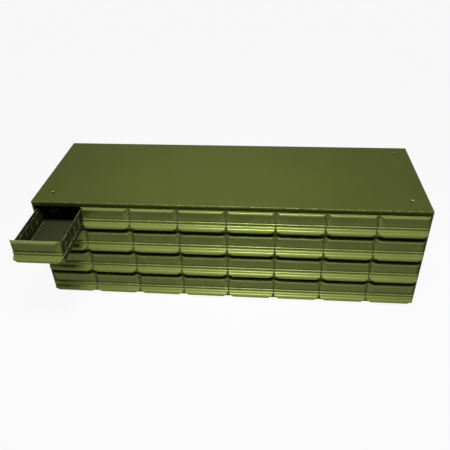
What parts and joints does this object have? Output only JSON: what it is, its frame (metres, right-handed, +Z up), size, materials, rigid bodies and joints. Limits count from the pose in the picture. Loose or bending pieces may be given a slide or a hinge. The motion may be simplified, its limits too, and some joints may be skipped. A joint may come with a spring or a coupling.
{
  "type": "small-drawer cabinet",
  "caption": "Low, wide free-standing steel cabinet with rows and columns of small sliding drawers, each with a lipped front and a full-width pull.",
  "frame": {"origin": "centre of the casing's underside, where it stands", "axes": "+X to the right of a person facing the drawers, +Y from the drawers to the back, +Z up"},
  "size_m": [0.864, 0.4102, 0.263],
  "materials": {
    "casing_paint": "satin olive green enamel",
    "inner_paint": "satin olive green enamel, thinner inside",
    "drawer_paint": "satin olive green enamel"
  },
  "bodies": {
    "casing": {"top_panel": "casing_paint", "left_side": "casing_paint", "right_side": "casing_paint", "back_panel": "casing_paint", "base_panel": "casing_paint", "top_rail": "inner_paint", "shelf_1": "inner_paint", "shelf_2": "inner_paint", "shelf_3": "inner_paint", "partition_1": "inner_paint", "partition_2": "inner_paint", "partition_3": "inner_paint", "partition_4": "inner_paint", "partition_5": "inner_paint", "partition_6": "inner_paint", "partition_7": "inner_paint"},
    "drawer_1_1": {"drawer_1_1": "drawer_paint"},
    "drawer_1_2": {"drawer_1_2": "drawer_paint"},
    "drawer_1_3": {"drawer_1_3": "drawer_paint"},
    "drawer_1_4": {"drawer_1_4": "drawer_paint"},
    "drawer_1_5": {"drawer_1_5": "drawer_paint"},
    "drawer_1_6": {"drawer_1_6": "drawer_paint"},
    "drawer_1_7": {"drawer_1_7": "drawer_paint"},
    "drawer_1_8": {"drawer_1_8": "drawer_paint"},
    "drawer_2_1": {"drawer_2_1": "drawer_paint"},
    "drawer_2_2": {"drawer_2_2": "drawer_paint"},
    "drawer_2_3": {"drawer_2_3": "drawer_paint"},
    "drawer_2_4": {"drawer_2_4": "drawer_paint"},
    "drawer_2_5": {"drawer_2_5": "drawer_paint"},
    "drawer_2_6": {"drawer_2_6": "drawer_paint"},
    "drawer_2_7": {"drawer_2_7": "drawer_paint"},
    "drawer_2_8": {"drawer_2_8": "drawer_paint"},
    "drawer_3_1": {"drawer_3_1": "drawer_paint"},
    "drawer_3_2": {"drawer_3_2": "drawer_paint"},
    "drawer_3_3": {"drawer_3_3": "drawer_paint"},
    "drawer_3_4": {"drawer_3_4": "drawer_paint"},
    "drawer_3_5": {"drawer_3_5": "drawer_paint"},
    "drawer_3_6": {"drawer_3_6": "drawer_paint"},
    "drawer_3_7": {"drawer_3_7": "drawer_paint"},
    "drawer_3_8": {"drawer_3_8": "drawer_paint"},
    "drawer_4_1": {"drawer_4_1": "drawer_paint"},
    "drawer_4_2": {"drawer_4_2": "drawer_paint"},
    "drawer_4_3": {"drawer_4_3": "drawer_paint"},
    "drawer_4_4": {"drawer_4_4": "drawer_paint"},
    "drawer_4_5": {"drawer_4_5": "drawer_paint"},
    "drawer_4_6": {"drawer_4_6": "drawer_paint"},
    "drawer_4_7": {"drawer_4_7": "drawer_paint"},
    "drawer_4_8": {"drawer_4_8": "drawer_paint"}
  },
  "joints": [
    {"name": "slide_1_1", "type": "slide", "parent": "casing", "child": "drawer_1_1", "axis": [0, -1, 0], "range_m": [-0.12, 0.1465]},
    {"name": "slide_1_2", "type": "slide", "parent": "casing", "child": "drawer_1_2", "axis": [0, -1, 0], "range_m": [0, 0.2665]},
    {"name": "slide_1_3", "type": "slide", "parent": "casing", "child": "drawer_1_3", "axis": [0, -1, 0], "range_m": [0, 0.2665]},
    {"name": "slide_1_4", "type": "slide", "parent": "casing", "child": "drawer_1_4", "axis": [0, -1, 0], "range_m": [0, 0.2665]},
    {"name": "slide_1_5", "type": "slide", "parent": "casing", "child": "drawer_1_5", "axis": [0, -1, 0], "range_m": [0, 0.2665]},
    {"name": "slide_1_6", "type": "slide", "parent": "casing", "child": "drawer_1_6", "axis": [0, -1, 0], "range_m": [0, 0.2665]},
    {"name": "slide_1_7", "type": "slide", "parent": "casing", "child": "drawer_1_7", "axis": [0, -1, 0], "range_m": [0, 0.2665]},
    {"name": "slide_1_8", "type": "slide", "parent": "casing", "child": "drawer_1_8", "axis": [0, -1, 0], "range_m": [0, 0.2665]},
    {"name": "slide_2_1", "type": "slide", "parent": "casing", "child": "drawer_2_1", "axis": [0, -1, 0], "range_m": [0, 0.2665]},
    {"name": "slide_2_2", "type": "slide", "parent": "casing", "child": "drawer_2_2", "axis": [0, -1, 0], "range_m": [0, 0.2665]},
    {"name": "slide_2_3", "type": "slide", "parent": "casing", "child": "drawer_2_3", "axis": [0, -1, 0], "range_m": [0, 0.2665]},
    {"name": "slide_2_4", "type": "slide", "parent": "casing", "child": "drawer_2_4", "axis": [0, -1, 0], "range_m": [0, 0.2665]},
    {"name": "slide_2_5", "type": "slide", "parent": "casing", "child": "drawer_2_5", "axis": [0, -1, 0], "range_m": [0, 0.2665]},
    {"name": "slide_2_6", "type": "slide", "parent": "casing", "child": "drawer_2_6", "axis": [0, -1, 0], "range_m": [0, 0.2665]},
    {"name": "slide_2_7", "type": "slide", "parent": "casing", "child": "drawer_2_7", "axis": [0, -1, 0], "range_m": [0, 0.2665]},
    {"name": "slide_2_8", "type": "slide", "parent": "casing", "child": "drawer_2_8", "axis": [0, -1, 0], "range_m": [0, 0.2665]},
    {"name": "slide_3_1", "type": "slide", "parent": "casing", "child": "drawer_3_1", "axis": [0, -1, 0], "range_m": [0, 0.2665]},
    {"name": "slide_3_2", "type": "slide", "parent": "casing", "child": "drawer_3_2", "axis": [0, -1, 0], "range_m": [0, 0.2665]},
    {"name": "slide_3_3", "type": "slide", "parent": "casing", "child": "drawer_3_3", "axis": [0, -1, 0], "range_m": [0, 0.2665]},
    {"name": "slide_3_4", "type": "slide", "parent": "casing", "child": "drawer_3_4", "axis": [0, -1, 0], "range_m": [0, 0.2665]},
    {"name": "slide_3_5", "type": "slide", "parent": "casing", "child": "drawer_3_5", "axis": [0, -1, 0], "range_m": [0, 0.2665]},
    {"name": "slide_3_6", "type": "slide", "parent": "casing", "child": "drawer_3_6", "axis": [0, -1, 0], "range_m": [0, 0.2665]},
    {"name": "slide_3_7", "type": "slide", "parent": "casing", "child": "drawer_3_7", "axis": [0, -1, 0], "range_m": [0, 0.2665]},
    {"name": "slide_3_8", "type": "slide", "parent": "casing", "child": "drawer_3_8", "axis": [0, -1, 0], "range_m": [0, 0.2665]},
    {"name": "slide_4_1", "type": "slide", "parent": "casing", "child": "drawer_4_1", "axis": [0, -1, 0], "range_m": [0, 0.2665]},
    {"name": "slide_4_2", "type": "slide", "parent": "casing", "child": "drawer_4_2", "axis": [0, -1, 0], "range_m": [0, 0.2665]},
    {"name": "slide_4_3", "type": "slide", "parent": "casing", "child": "drawer_4_3", "axis": [0, -1, 0], "range_m": [0, 0.2665]},
    {"name": "slide_4_4", "type": "slide", "parent": "casing", "child": "drawer_4_4", "axis": [0, -1, 0], "range_m": [0, 0.2665]},
    {"name": "slide_4_5", "type": "slide", "parent": "casing", "child": "drawer_4_5", "axis": [0, -1, 0], "range_m": [0, 0.2665]},
    {"name": "slide_4_6", "type": "slide", "parent": "casing", "child": "drawer_4_6", "axis": [0, -1, 0], "range_m": [0, 0.2665]},
    {"name": "slide_4_7", "type": "slide", "parent": "casing", "child": "drawer_4_7", "axis": [0, -1, 0], "range_m": [0, 0.2665]},
    {"name": "slide_4_8", "type": "slide", "parent": "casing", "child": "drawer_4_8", "axis": [0, -1, 0], "range_m": [0, 0.2665]}
  ]
}
